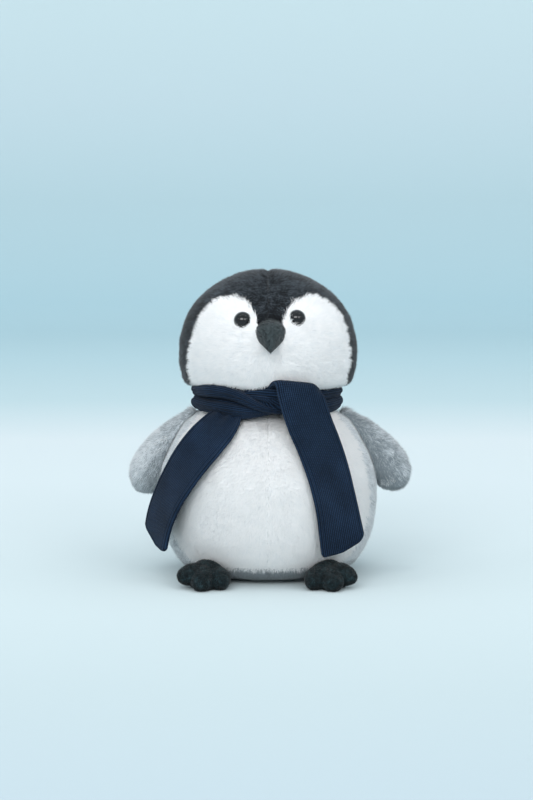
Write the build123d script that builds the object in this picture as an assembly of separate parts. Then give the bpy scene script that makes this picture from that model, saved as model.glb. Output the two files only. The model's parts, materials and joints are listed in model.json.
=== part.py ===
from build123d import *
import os
from math import cos, radians, sin, sqrt

# A stuffed toy penguin that sits upright and wears a knitted scarf.
#
# Millimetres, +Z up. The toy faces -Y. Left is -X and right is +X, as seen from the front.
# The origin is the middle of the flat base that the toy sits on, so the floor is z = 0.
#
# Plush panels are sewn into a head, a body, two wings and a tail, and stuffed with fibre.
# A pouch of pellets low in the body keeps the toy upright. The eyes are domed plastic
# buttons, each on a ribbed shank that a washer locks behind the face. The plush solids
# reach out to the tips of the pile.

# ---------------------------------------------------------------- driving dimensions
PILE = 3.0                  # plush panel: backing cloth and pile together
NAP = 1.6                   # short-napped cloth of the beak and the feet
CLEAR = 0.3                 # room between curved faces
CUT = 300.0                 # half size of the blocks that cut a form in two

BASE_RADIUS = 42.0          # flat of the base
BASE_EDGE = 12.0            # height of the seam round the base
NECK_RADIUS = 39.0
NECK_TOP = 133.8
BODY_SIDE = [(BASE_RADIUS, 0), (62, 8.5), (73.2, 28), (77.4, 56), (75.4, 77), (67.4, 95),
             (58.2, 109), (48, 116.2), (NECK_RADIUS, 124), (NECK_RADIUS, NECK_TOP)]
BELLY_EDGE = [(15, 8), (42, 9), (59, 18), (68.5, 36), (72.7, 56), (69.4, 77), (61, 101),
              (44.8, 119.4), (34, NECK_TOP + 5)]
BELLY_BACK = 8.0            # under the scarf, the belly stops this far in front of the middle
POUCH_SIDE = [(20, 8), (31, 11), (34, 16.5), (29, 22.5), (16, 25.8), (0, 27)]

HEAD_BOTTOM = NECK_TOP + 0.4
HEAD_TOP = 217.8
HEAD_SIDE = [(51, HEAD_BOTTOM), (58.8, 137.4), (62.2, 147), (63.1, 158), (61.4, 172.5),
             (54.6, 189.2), (40.5, 203.8), (21, 213.9), (0, HEAD_TOP)]
FACE_SHIFT = 1.7            # the beak, the eyes and the face's seam are this far to the right
FACE_EDGE = [(4, 176), (8.6, 190), (15, 200.2), (26, 202.8), (39.5, 199), (50, 188), (55.2, 172),
             (56.8, 156), (54.8, 142), (47, 125)]
FACE_BACK = 12.0            # under the chin, the face stops this far in front of the middle

EYE_RADIUS = 6.0
EYE_DOME = 4.4              # height of the dome over its rim
EYE_SPREAD = 19.3           # from the middle of the face
EYE_HEIGHTS = (184.8, 186.2)    # sewn by hand, so one sits a little higher
EYE_SINK = 1.6              # the rim lies this far below the tips of the pile
SHANK_RADIUS = 1.6
SHANK_LENGTH = 13.0
SHANK_RIB = 1.95
WASHER = (5.5, 1.2, 2.1)    # radius, thickness and bore

BEAK_SIDE = [(9.4, 0), (10.3, 5), (9.5, 11), (7.2, 17), (4.3, 22.2), (2.2, 25.2)]
BEAK_LENGTH = 26.8
BEAK_DROOP = 29.5           # degrees below level
BEAK_UNDER = (5.2, 16.0)    # depth of the flatter underside, and its radius across
BEAK_ROOT = (FACE_SHIFT, -53.5, 176.8)

WING_SIDE = [(4.2, 5), (8.2, 14), (12.8, 27), (15.2, 40), (15.4, 51), (12.6, 61), (7.2, 67)]
WING_LENGTH = 70.0
WING_THICKNESS = 23.0
WING_BULGE = 26.0           # radius of the front and the back, across the wing
WING_SHOULDER = (56.0, 4.0, 116.0)
WING_HANG = 56.1            # degrees below level

FOOT_ROOT = (38.5, -51.0)
FOOT_TURN = 12.0            # degrees that the foot points outward
TOE_SPREAD = 27.0           # degrees between two toes
TOE_REACH = [24.0, 28.0, 24.5]   # inner, middle and outer toe, from the foot's root
TOE_RADIUS = 7.4
TOE_SINK = 1.2              # the flat of the sole
INSTEP = (15.8, 22.0)       # radius and half length of the foot's rounded back
INSTEP_RISE = 2.8

TAIL_SIDE = [(12.5, 0), (11.6, 9), (8.6, 18), (4.6, 25)]
TAIL_LENGTH = 28.0
TAIL_THICKNESS = 16.0
TAIL_BULGE = 19.0           # radius of its top and underside, across
TAIL_ROOT = (0, 63.0, 30.0)
TAIL_RISE = 12.0            # degrees above level

SCARF_RADIUS = 47.6         # middle of the rolls, across
ROLL = (5.7, 4.9)           # half thickness and half height of one roll
ROLL_HEIGHTS = (121.9, 128.8)
SCARF_WIDTH = 33.0          # of the strip, laid flat
SCARF_THICK = 4.0           # two layers of knit
HANG_HEIGHT = 117.5         # the hanging ends start here


# ---------------------------------------------------------------- shared forms
def inset_outline(points, inset):
    """A half outline moved inward, each point square to the line through its neighbours.

    The first and the last point lie on flat ends, which move in by the same amount.
    """
    moved = [(points[0][0] - 0.6 * inset, points[0][1] + inset)]
    for before, (x, z), after in zip(points, points[1:], points[2:]):
        run, rise = after[0] - before[0], after[1] - before[1]
        length = sqrt(run * run + rise * rise)
        moved.append((x - inset * rise / length, z + inset * run / length))
    x, z = points[-1]
    moved.append((max(x - inset, 0), z - inset))
    return moved


def turned(points, inset):
    """A half outline, inset and turned about Z."""
    points = inset_outline(points, inset)
    (foot_x, foot_z), (top_x, top_z) = points[0], points[-1]
    closing = [(top_x, top_z), (0, foot_z), (foot_x, foot_z)]
    if top_x > 0:
        closing.insert(1, (0, top_z))
    section = Plane.XZ * make_face(Spline(*points) + Polyline(*closing))
    return revolve(section, Axis.Z)


def pressed(points, length, thickness, bulge, inset):
    """A turned teardrop pressed flat, in its own Y, between two wide cylinders."""
    shape = turned(points + [(0, length)], inset)
    for side in (-1, 1):
        offset = side * (bulge - thickness / 2)
        shape &= Pos(0, offset, length / 2) * Cylinder(bulge - inset, 2 * length)
    return shape


def rounded(radius, half_length):
    """An egg shape about Z."""
    half = Ellipse(radius, half_length) & Pos(radius, 0) * Rectangle(2 * radius, 3 * half_length)
    return revolve(Plane.XZ * half, Axis.Z)


def body_form(inset):
    return turned(BODY_SIDE, inset)


def head_form(inset):
    return turned(HEAD_SIDE, inset)


def half_space(side):
    """Everything on one side of the middle: side is 1 for +X and -1 for -X."""
    return Pos(side * CUT, 0, 0) * Box(2 * CUT, 2 * CUT, 2 * CUT)


def below(height):
    return Pos(0, 0, height - CUT) * Box(2 * CUT, 2 * CUT, 2 * CUT)


def front_prism(edge, start, shift=0.0):
    """A patch seen from the front: a half outline, mirrored, and cut straight back to y = -start."""
    points = [(shift - x, z) for x, z in reversed(edge)] + [(shift + x, z) for x, z in edge]
    rim = Spline(*points) + Line(points[-1], points[0])
    return extrude(Plane.XZ.offset(start) * make_face(rim), CUT)


def seat(form, x, z):
    """A plane on the front of a form, its own Z pointing straight out of the surface."""
    hits = form.find_intersection_points(Axis((x, -CUT, z), (0, 1, 0)))
    point, normal = min(hits, key=lambda hit: hit[0].Y)
    outward = normal if normal.Y < 0 else -normal
    return Plane(origin=point, x_dir=(1, 0, 0), z_dir=outward)


def write(shape, name):
    """One STEP file for each piece, named after it."""
    export_step(Compound(children=[shape.solid()]) if len(shape.solids()) == 1 else shape,
                f"parts/{name}.step")


# ---------------------------------------------------------------- beak and eyes
def beak_plane():
    tilt = radians(BEAK_DROOP)
    return Plane(origin=BEAK_ROOT, x_dir=(1, 0, 0), z_dir=(0, -cos(tilt), -sin(tilt)))


def beak_form(inset):
    """A blunt cone, round above and flatter underneath."""
    depth, radius = BEAK_UNDER
    under = Pos(0, radius - depth, 0) * Cylinder(radius - inset, 4 * BEAK_LENGTH)
    return beak_plane() * (turned(BEAK_SIDE + [(0, BEAK_LENGTH)], inset) & under)


def eye_button():
    """The dome with its ribbed shank, in the eye's own frame: the rim is at z = 0."""
    curve = [(1.0, 0), (0.94, 0.34), (0.74, 0.69), (0.4, 0.93), (0, 1.0)]
    dome = Spline(*[(EYE_RADIUS * x, EYE_DOME * z) for x, z in curve])
    ribs = []
    for rib in range(5):
        z = -4.2 - 1.6 * rib
        ribs += [(SHANK_RADIUS, z), (SHANK_RIB, z - 0.3), (SHANK_RADIUS, z - 1.2)]
    back = [(0, -SHANK_LENGTH), (0.9, -SHANK_LENGTH)] + ribs[::-1]
    back += [(SHANK_RADIUS, -0.9), (EYE_RADIUS - 0.7, -0.9), (EYE_RADIUS, 0)]
    section = make_face(dome + Polyline((0, EYE_DOME), *back))
    return revolve(Plane.XZ * section, Axis.Z)


def eye_washer():
    radius, thick, bore = WASHER
    height = -PILE - thick - 0.9
    plate = Pos(0, 0, height) * Cylinder(radius, thick)
    hub = Pos(0, 0, height - thick) * Cylinder(bore + 1.2, thick)
    return plate + hub - Pos(0, 0, height) * Cylinder(bore, 6 * thick)


def eye_room():
    """What the eye takes out of the pile, the cloth and the stuffing."""
    radius, thick, bore = WASHER
    recess = Pos(0, 0, 9) * Cylinder(EYE_RADIUS + 0.2, 20)
    hole = Pos(0, 0, -5) * Cylinder(bore, 10)
    washer = Pos(0, 0, -PILE - 2.2) * Cylinder(radius + 0.2, 4.4)
    shank = Pos(0, 0, -10) * Cylinder(bore + 0.1, 8)
    return recess + hole, washer + shank


# ---------------------------------------------------------------- head
def make_head():
    outer, inner = head_form(0), head_form(PILE)
    core = head_form(PILE + CLEAR)
    skin = outer - inner
    beak_room = beak_form(-CLEAR)
    skin -= beak_room
    core -= beak_room
    for side, name, height in zip((-1, 1), ("left", "right"), EYE_HEIGHTS):
        plane = seat(outer, FACE_SHIFT + side * EYE_SPREAD, height).offset(-EYE_SINK)
        recess, cavity = eye_room()
        skin -= plane * recess
        core = core - plane * recess - plane * cavity
        write(plane * eye_button(), f"eye_{name}")
        write(plane * eye_washer(), f"eye_washer_{name}")
    patch = front_prism(FACE_EDGE, FACE_BACK, FACE_SHIFT)
    face = skin & patch
    hood = skin - patch
    for side, name in ((-1, "left"), (1, "right")):
        write(face & Pos(FACE_SHIFT, 0, 0) * half_space(side), f"face_{name}")
        write(hood & half_space(side), f"hood_{name}")
    write(core, "head_stuffing")
    write(beak_form(0) - beak_form(NAP), "beak_cover")
    write(beak_form(NAP + CLEAR), "beak_stuffing")


# ---------------------------------------------------------------- body
def make_body():
    skin = body_form(0) - body_form(PILE)
    core = body_form(PILE + CLEAR)
    patch = front_prism(BELLY_EDGE, BELLY_BACK)
    patch -= below(BASE_EDGE)
    base = skin & below(BASE_EDGE)
    belly = (skin - below(BASE_EDGE)) & patch
    back = skin - below(BASE_EDGE) - patch
    for side, name in ((-1, "left"), (1, "right")):
        write(belly & half_space(side), f"belly_{name}")
        write(back & half_space(side), f"back_{name}")
    write(base, "base_panel")
    write(core - turned(POUCH_SIDE, -CLEAR), "body_stuffing")
    write(turned(POUCH_SIDE, 0), "pellet_pouch")


# ---------------------------------------------------------------- wings
def wing_form(inset, side):
    """A flat teardrop that hangs at the side, hollowed where it lies against the body."""
    shape = pressed(WING_SIDE, WING_LENGTH, WING_THICKNESS, WING_BULGE, inset)
    hang = radians(WING_HANG)
    x, y, z = WING_SHOULDER
    place = Plane(origin=(x, y, z), x_dir=(sin(hang), 0, cos(hang)),
                  z_dir=(cos(hang), 0, -sin(hang)))
    wing = place * shape - body_form(-CLEAR - inset)
    return wing if side > 0 else mirror(wing, Plane.YZ)


def make_wing(side, name):
    skin = wing_form(0, side) - wing_form(PILE, side)
    middle = Plane.XZ.offset(-WING_SHOULDER[1])
    front, back = split(skin, middle, Keep.TOP), split(skin, middle, Keep.BOTTOM)
    write(front, f"wing_{name}_front")
    write(back, f"wing_{name}_back")
    write(wing_form(PILE + CLEAR, side), f"wing_{name}_stuffing")


# ---------------------------------------------------------------- feet and tail
def foot_form(inset, side):
    """Three round toes and a rounded back, flat underneath and hollowed to fit the body."""
    x, y = side * FOOT_ROOT[0], FOOT_ROOT[1]
    radius = TOE_RADIUS - inset
    turn = radians(FOOT_TURN)
    back = Plane(origin=(x, y, INSTEP_RISE), z_dir=(side * sin(turn), -cos(turn), 0))
    foot = back * rounded(INSTEP[0] - inset, INSTEP[1] - inset)
    for step, reach in zip((-1, 0, 1), TOE_REACH):
        turn = radians(FOOT_TURN + step * TOE_SPREAD)
        along = Vector(side * sin(turn), -cos(turn), 0)
        tip = Vector(x, y, TOE_RADIUS - TOE_SINK) + along * reach
        toe = Pos(0, 0, reach / 2) * Cylinder(radius, reach) + Sphere(radius)
        foot += Plane(origin=tip, x_dir=(0, 0, 1), z_dir=-along) * toe
    return foot - below(inset) - body_form(-CLEAR - inset)


def make_foot(side, name):
    cover = foot_form(0, side) - foot_form(NAP, side)
    write(cover - below(NAP), f"foot_{name}_upper")
    write(cover & below(NAP), f"foot_{name}_sole")
    write(foot_form(NAP + CLEAR, side), f"foot_{name}_stuffing")


def tail_form(inset):
    shape = pressed(TAIL_SIDE, TAIL_LENGTH, TAIL_THICKNESS, TAIL_BULGE, inset)
    rise = radians(TAIL_RISE)
    place = Plane(origin=TAIL_ROOT, x_dir=(1, 0, 0), z_dir=(0, cos(rise), sin(rise)))
    return place * shape - body_form(-CLEAR - inset)


def make_tail():
    write(tail_form(0) - tail_form(PILE), "tail_cover")
    write(tail_form(PILE + CLEAR), "tail_stuffing")


# ---------------------------------------------------------------- scarf
# Each station of a ribbon: the middle of the strip, and how far it is turned from facing
# front, in degrees, positive towards +X.
RIGHT_END = [((24.5, -60.5, 124), 22), ((32.0, -63.5, 100), 27), ((39.6, -66.2, 80), 31),
             ((44.8, -67.2, 60), 30), ((48.8, -66.4, 40), 20), ((51.8, -65.4, 25), 10)]
LEFT_END = [((-20.5, -57.5, 126), -22), ((-40.0, -59.4, 104), -31), ((-54.5, -57.4, 84), -38),
            ((-66.0, -51.4, 64), -42), ((-74.0, -46.4, 44), -42), ((-78.5, -43.4, 26), -38)]
FOLD_OVER = [((21.0, -59.0, 138.6), 20), ((22.0, -60.6, 132), 21), ((23.6, -60.8, 124), 22),
             ((25.6, -60.8, 114), 23)]
CROSSING = [((-44, -34.0, 127.5), 4.0, 5.0), ((-30, -48.0, 126), 6.5, 7.2),
            ((-12, -55.5, 124), 8.0, 8.2), ((6, -58.0, 123), 8.0, 8.2),
            ((23, -55.0, 122), 8.0, 8.0)]


def ribbon(stations):
    """A flat strip of double knit through its stations, square to its own run."""
    sections = []
    points = [Vector(*place) for place, turn in stations]
    for i, (place, turn) in enumerate(stations):
        run = points[min(i + 1, len(points) - 1)] - points[max(i - 1, 0)]
        facing = Vector(sin(radians(turn)), -cos(radians(turn)), 0)
        across = run.cross(facing).normalized()
        section = RectangleRounded(SCARF_WIDTH, SCARF_THICK, 0.45 * SCARF_THICK)
        sections.append(Plane(origin=place, x_dir=across, z_dir=run.normalized()) * section)
    return loft(sections)


def crossing():
    """The strand that crosses the front of the neck, from the upper left to the lower right."""
    sections = []
    points = [Vector(*place) for place, thick, tall in CROSSING]
    for i, (place, thick, tall) in enumerate(CROSSING):
        run = points[min(i + 1, len(points) - 1)] - points[max(i - 1, 0)]
        section = Ellipse(thick / 2 + 1, tall)
        level = Vector(run.Y, -run.X, 0).normalized()
        sections.append(Plane(origin=place, x_dir=level, z_dir=run.normalized()) * section)
    return loft(sections)


def make_scarf():
    rolls = None
    for height in ROLL_HEIGHTS:
        section = Plane.XZ * Pos(SCARF_RADIUS, height) * Ellipse(*ROLL)
        roll = revolve(section, Axis.Z)
        rolls = roll if rolls is None else rolls + roll
    wrap = rolls + crossing() + ribbon(FOLD_OVER)
    write(wrap - below(HANG_HEIGHT) - body_form(-CLEAR), "scarf_neck_wrap")
    write(ribbon(LEFT_END) & below(HANG_HEIGHT - CLEAR), "scarf_end_left")
    write(ribbon(RIGHT_END) & below(HANG_HEIGHT - CLEAR), "scarf_end_right")


os.makedirs("parts", exist_ok=True)
make_head()
make_body()
make_wing(-1, "left")
make_wing(1, "right")
make_foot(-1, "left")
make_foot(1, "right")
make_tail()
make_scarf()
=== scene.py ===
import json
import math

import bmesh
import bpy
import numpy as np
from mathutils import Matrix, Vector

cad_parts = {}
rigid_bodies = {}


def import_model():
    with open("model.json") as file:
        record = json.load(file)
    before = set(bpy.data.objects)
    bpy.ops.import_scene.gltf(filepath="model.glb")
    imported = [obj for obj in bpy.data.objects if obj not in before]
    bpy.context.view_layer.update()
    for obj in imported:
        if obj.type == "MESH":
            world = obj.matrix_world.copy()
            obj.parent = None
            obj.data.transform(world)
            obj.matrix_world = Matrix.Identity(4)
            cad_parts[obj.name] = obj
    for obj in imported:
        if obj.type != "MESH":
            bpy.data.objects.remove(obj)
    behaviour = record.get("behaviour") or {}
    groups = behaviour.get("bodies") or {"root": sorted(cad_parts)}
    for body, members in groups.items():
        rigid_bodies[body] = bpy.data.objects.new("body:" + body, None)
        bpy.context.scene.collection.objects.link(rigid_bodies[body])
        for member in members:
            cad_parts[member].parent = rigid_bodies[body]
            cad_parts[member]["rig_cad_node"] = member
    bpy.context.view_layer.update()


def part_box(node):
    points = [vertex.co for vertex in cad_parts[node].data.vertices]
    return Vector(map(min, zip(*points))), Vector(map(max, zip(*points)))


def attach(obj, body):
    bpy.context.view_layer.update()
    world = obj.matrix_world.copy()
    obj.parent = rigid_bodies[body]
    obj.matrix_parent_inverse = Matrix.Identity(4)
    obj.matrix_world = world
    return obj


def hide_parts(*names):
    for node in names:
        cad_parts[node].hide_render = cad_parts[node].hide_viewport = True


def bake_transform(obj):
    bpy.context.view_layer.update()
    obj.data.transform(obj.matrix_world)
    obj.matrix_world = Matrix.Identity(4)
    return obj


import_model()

MM = 0.001
SIDES = (("left", -1), ("right", 1))

# ---- camera

CAMERA_PLACE = (-0.00107, -1.5, 0.278)
CAMERA_PITCH = 5.88  # degrees below level
CAMERA_LENS = 94.86

camera = bpy.data.objects.new("camera", bpy.data.cameras.new("camera"))
camera.data.lens = CAMERA_LENS
camera.location = CAMERA_PLACE
camera.rotation_euler = (math.radians(90 - CAMERA_PITCH), 0, 0)
bpy.context.scene.collection.objects.link(camera)
bpy.context.scene.camera = camera


# ---- helpers

def unit(v):
    return v / np.maximum(np.linalg.norm(v, axis=-1, keepdims=True), 1e-12)


def rise(x, start, reach, low=0):
    """Goes from low to 1 as x goes on from start by reach, which is negative for a fall."""
    return np.clip((x - start) / reach, low, 1)


def near(distance, size, power=2):
    """1 at no distance, and fades over the given size."""
    return np.exp(-(distance / size) ** power)


def run_along(points):
    """How far along the line each of its points lies."""
    return np.concatenate([[0], np.cumsum(np.linalg.norm(np.diff(points, axis=0), axis=1))])


def smooth_line(points, count):
    """Evenly spaced points on a smooth line through the given ones."""
    p = np.array(points, float)
    t = np.concatenate([[0], np.cumsum(np.linalg.norm(np.diff(p, axis=0), axis=1) ** 0.5)])
    slope = np.gradient(p, t, axis=0)
    dense = np.linspace(t[0], t[-1], 60 * len(p))
    k = np.clip(np.searchsorted(t, dense, side="right") - 1, 0, len(t) - 2)
    h = (t[k + 1] - t[k])[:, None]
    s = (dense - t[k])[:, None] / h
    line = ((2 * s**3 - 3 * s**2 + 1) * p[k] + (s**3 - 2 * s**2 + s) * h * slope[k]
            + (3 * s**2 - 2 * s**3) * p[k + 1] + (s**3 - s**2) * h * slope[k + 1])
    run = run_along(line)
    even = np.linspace(0, run[-1], count)
    return np.stack([np.interp(even, run, line[:, i]) for i in range(line.shape[1])], axis=1)


LATTICE = 32  # the noise repeats after so many cells


def noise(points, size, seed):
    """Smooth noise from about -1 to 1, with features of the given size."""
    rng = np.random.default_rng(seed)
    lattice = rng.uniform(-1, 1, (LATTICE, LATTICE, LATTICE))
    turn, _ = np.linalg.qr(rng.normal(0, 1, (3, 3)))
    q = np.asarray(points) @ turn / size + 50
    cell = np.floor(q).astype(int)
    f = q - cell
    f = f * f * (3 - 2 * f)
    total = np.zeros(len(q))
    for corner in np.ndindex(2, 2, 2):
        weight = np.prod(np.where(corner, f, 1 - f), axis=1)
        at = (cell + corner) % LATTICE
        total += weight * lattice[at[:, 0], at[:, 1], at[:, 2]]
    return total


def edge_distance(x, z, outline):
    """Distance into a closed outline, negative outside."""
    px, pz = outline[:, 0], outline[:, 1]
    qx, qz = np.roll(px, -1), np.roll(pz, -1)
    best = np.full(len(x), 1e9)
    inside = np.zeros(len(x), bool)
    for ax, az, bx, bz in zip(px, pz, qx, qz):
        dx, dz = bx - ax, bz - az
        length = dx * dx + dz * dz
        if length == 0:
            continue
        s = np.clip(((x - ax) * dx + (z - az) * dz) / length, 0, 1)
        best = np.minimum(best, (x - ax - s * dx) ** 2 + (z - az - s * dz) ** 2)
        crosses = (az > z) != (bz > z)
        if dz:
            inside ^= crosses & (x < ax + (z - az) * dx / dz)
    return np.where(inside, 1, -1) * np.sqrt(best)


def new_object(name, verts, faces, materials, tones=None):
    """A smooth mesh from arrays of corners and faces of one size, or lists of faces.

    tones gives the material of each face.
    """
    mesh = bpy.data.meshes.new(name)
    if isinstance(faces, np.ndarray):
        count, size = faces.shape
        mesh.vertices.add(len(verts))
        mesh.vertices.foreach_set("co", np.asarray(verts, np.float32).ravel())
        mesh.loops.add(count * size)
        mesh.loops.foreach_set("vertex_index", faces.astype(np.int32).ravel())
        mesh.polygons.add(count)
        mesh.polygons.foreach_set("loop_start", np.arange(0, count * size, size, dtype=np.int32))
        mesh.update(calc_edges=True)
    else:
        mesh.from_pydata([tuple(v) for v in verts], [], faces)
    for material in materials:
        mesh.materials.append(material)
    if tones is not None:
        mesh.polygons.foreach_set("material_index", np.asarray(tones, np.int32))
    mesh.polygons.foreach_set("use_smooth", np.full(len(mesh.polygons), True))
    mesh.update()
    ob = bpy.data.objects.new(name, mesh)
    bpy.context.scene.collection.objects.link(ob)
    return ob


def corners(mesh):
    return np.array([v.co for v in mesh.vertices])


def set_corners(mesh, places):
    for v, place in zip(mesh.vertices, places):
        v.co = place


def modify(ob, kind, **settings):
    """Applies a modifier to the object's mesh."""
    modifier = ob.modifiers.new(kind.lower(), kind)
    for key, value in settings.items():
        setattr(modifier, key, value)
    graph = bpy.context.evaluated_depsgraph_get()
    mesh = bpy.data.meshes.new_from_object(ob.evaluated_get(graph))
    ob.modifiers.clear()
    ob.data = mesh


def join(name, parts):
    """Makes one object of several."""
    with bpy.context.temp_override(active_object=parts[0], object=parts[0],
                                   selected_objects=parts, selected_editable_objects=parts):
        bpy.ops.object.join()
    parts[0].name = parts[0].data.name = name
    return parts[0]


# ---- materials

def srgb(r, g, b):
    """A colour in the shader's own scale, from 0-255 screen values."""
    c = np.array((r, g, b)) / 255
    linear = np.where(c <= 0.04045, c / 12.92, ((c + 0.055) / 1.055) ** 2.4)
    return (*[float(v) for v in linear], 1.0)


def preset(node, inputs):
    """Sets inputs of a node, named with _ for a space."""
    for key, value in inputs.items():
        node.inputs[key.replace("_", " ")].default_value = value
    return node


def add(tree, kind, **inputs):
    return preset(tree.nodes.new(kind), inputs)


def shader(name, **inputs):
    """A material, its tree and its main shader."""
    material = bpy.data.materials.new(name)
    material.use_nodes = True
    tree = material.node_tree
    return material, tree, preset(tree.nodes["Principled BSDF"], inputs)


def maths(tree, kind, *values):
    """The result of a math node; each value is a number or the output of a node."""
    node = tree.nodes.new("ShaderNodeMath")
    node.operation = kind
    for socket, value in zip(node.inputs, values):
        if isinstance(value, (int, float)):
            socket.default_value = value
        else:
            tree.links.new(value, socket)
    return node.outputs[0]


def place_in(tree):
    """The shaded point's place in the scene."""
    return tree.nodes.new("ShaderNodeNewGeometry").outputs["Position"]


def mottle(tree, scale, detail, **more):
    """Noise through the space of the scene."""
    node = add(tree, "ShaderNodeTexNoise", Scale=scale, Detail=detail, **more)
    tree.links.new(place_in(tree), node.inputs["Vector"])
    return node.outputs["Fac"]


def parts_of(tree, vector):
    """The X, Y and Z outputs of a vector."""
    node = tree.nodes.new("ShaderNodeSeparateXYZ")
    tree.links.new(vector, node.inputs["Vector"])
    return node.outputs


def spread(tree, source, low, high, socket):
    """Feeds a socket with a source of 0 to 1, spread from low to high."""
    node = add(tree, "ShaderNodeMapRange", To_Min=low, To_Max=high)
    tree.links.new(source, node.inputs["Value"])
    tree.links.new(node.outputs["Result"], socket)


def emboss(tree, height, bsdf, strength, distance):
    node = add(tree, "ShaderNodeBump", Strength=strength, Distance=distance)
    tree.links.new(height, node.inputs["Height"])
    tree.links.new(node.outputs["Normal"], bsdf.inputs["Normal"])


def ramp(tree, source, stops):
    node = tree.nodes.new("ShaderNodeValToRGB")
    while len(node.color_ramp.elements) < len(stops):
        node.color_ramp.elements.new(0.5)
    for element, (place, colour) in zip(node.color_ramp.elements, stops):
        element.position, element.color = place, colour
    tree.links.new(source, node.inputs["Fac"])
    return node.outputs["Color"]


def plush(name, low, high, scale=350, bump=0.5):
    """Backing cloth under the pile: mottled from one colour to another, with a fine grain."""
    material, tree, bsdf = shader(name, Sheen_Weight=0.25, Specular_IOR_Level=0.2)
    patches = mottle(tree, scale, 4.0, Roughness=0.65)
    tree.links.new(ramp(tree, patches, [(0.3, srgb(*low)), (0.7, srgb(*high))]),
                   bsdf.inputs["Base Color"])
    grain = mottle(tree, scale * 6, 2.0)
    spread(tree, grain, 0.8, 1.0, bsdf.inputs["Roughness"])
    emboss(tree, grain, bsdf, bump, 0.0006)
    return material


def strand(name, colour, sheen=0.2, gloss_level=0.15):
    """One tone of pile: its colour is even, its gloss varies from strand to strand."""
    material, tree, bsdf = shader(name, Base_Color=srgb(*colour), Sheen_Weight=sheen,
                                  Specular_IOR_Level=gloss_level)
    spread(tree, mottle(tree, 900.0, 1.0), 0.6, 0.95, bsdf.inputs["Roughness"])
    return material


def shades(name, *colours, **more):
    """Tones of pile, dark to light."""
    return [strand(f"{name}_{i}", colour, **more) for i, colour in enumerate(colours)]


# ---- floor and light

FLOOR_FRONT = -9.0
FLOOR_SIDE = 9.0
FLOOR_BACK = 2.4  # where the floor starts to rise into the backdrop
SWEEP = 1.2  # radius of that rise
SWEEP_STEPS = 24
BACKDROP_TOP = 6.0
WALL_STRETCH = 2.0  # a metre up the wall counts as two back along the floor
# painted light and shade: the paper's colour runs darker and paler along the floor and up the
# wall, for how the studio light falls on it
BACKDROP_LIGHT_AND_SHADE = [
    (-0.60, (165, 180, 187)), (-0.37, (176, 190, 194)), (-0.10, (191, 204, 207)),
    (0.46, (206, 216, 219)), (0.78, (210, 219, 222)), (1.20, (191, 211, 216)),
    (1.81, (184, 209, 216)), (2.79, (173, 202, 211)), (3.60, (178, 202, 209)),
    (4.29, (191, 210, 216)), (4.88, (199, 217, 221))]


def backdrop():
    side = [(FLOOR_FRONT, 0.0), (0.0, 0.0), (FLOOR_BACK, 0.0)]
    for i in range(1, SWEEP_STEPS + 1):
        a = math.radians(90) * i / SWEEP_STEPS
        side.append((FLOOR_BACK + SWEEP * math.sin(a), SWEEP * (1 - math.cos(a))))
    side.append((FLOOR_BACK + SWEEP, BACKDROP_TOP))
    verts = [(x, y, z) for y, z in side for x in (-FLOOR_SIDE, FLOOR_SIDE)]
    faces = [(2 * i, 2 * i + 1, 2 * i + 3, 2 * i + 2) for i in range(len(side) - 1)]
    material, tree, bsdf = shader("backdrop_paper", Roughness=0.9, Specular_IOR_Level=0.1)
    parts = parts_of(tree, place_in(tree))
    reach = maths(tree, "MULTIPLY_ADD", parts["Z"], WALL_STRETCH, parts["Y"])
    first, last = BACKDROP_LIGHT_AND_SHADE[0][0], BACKDROP_LIGHT_AND_SHADE[-1][0]
    scale = add(tree, "ShaderNodeMapRange", From_Min=first, From_Max=last)
    tree.links.new(reach, scale.inputs["Value"])
    # the paper's colour carries the painted light and shade along its run
    stops = [((place - first) / (last - first), srgb(*tone)) for place, tone in BACKDROP_LIGHT_AND_SHADE]
    tree.links.new(ramp(tree, scale.outputs["Result"], stops), bsdf.inputs["Base Color"])
    ob = new_object("backdrop", verts, faces, [material])


STUDIO_TONE, STUDIO_STRENGTH = (241, 246, 250), 1.29  # the world, as it lights the scene
BEYOND_TONE = (200, 219, 227)  # and as it shows past the backdrop
LAMP_AIM = (0, 0, 0.1)
# name, place, width and height, watts
LAMPS = [
    ("key", (-0.45, -1.7, 1.0), (1.2, 0.8), 17.1), ("fill", (0.9, -1.6, 0.9), (0.8, 0.8), 7.0),
    ("top", (0.0, 0.1, 1.7), (1.4, 1.4), 0.6)]
GLINT_AIM = (0, -0.05, 0.18)
# an arch of small lamps, seen as the row of bright spots in the eyes: place, side and watts
GLINTS = [
    ((0.0, -0.08, 1.62), 0.15, 0.85), ((0.66, -0.3, 1.45), 0.145, 0.58),
    ((-0.66, -0.3, 1.45), 0.145, 0.58), ((1.12, -0.73, 0.79), 0.14, 0.45),
    ((-1.12, -0.73, 0.79), 0.14, 0.45)]


def lamp(name, place, aim, size, power):
    data = bpy.data.lights.new(name, "AREA")
    data.shape = "RECTANGLE"
    data.size, data.size_y = size
    data.energy = power
    ob = bpy.data.objects.new(name, data)
    ob.location = place
    ob.rotation_euler = (Vector(aim) - Vector(place)).to_track_quat("-Z", "Y").to_euler()
    bpy.context.scene.collection.objects.link(ob)


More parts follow.
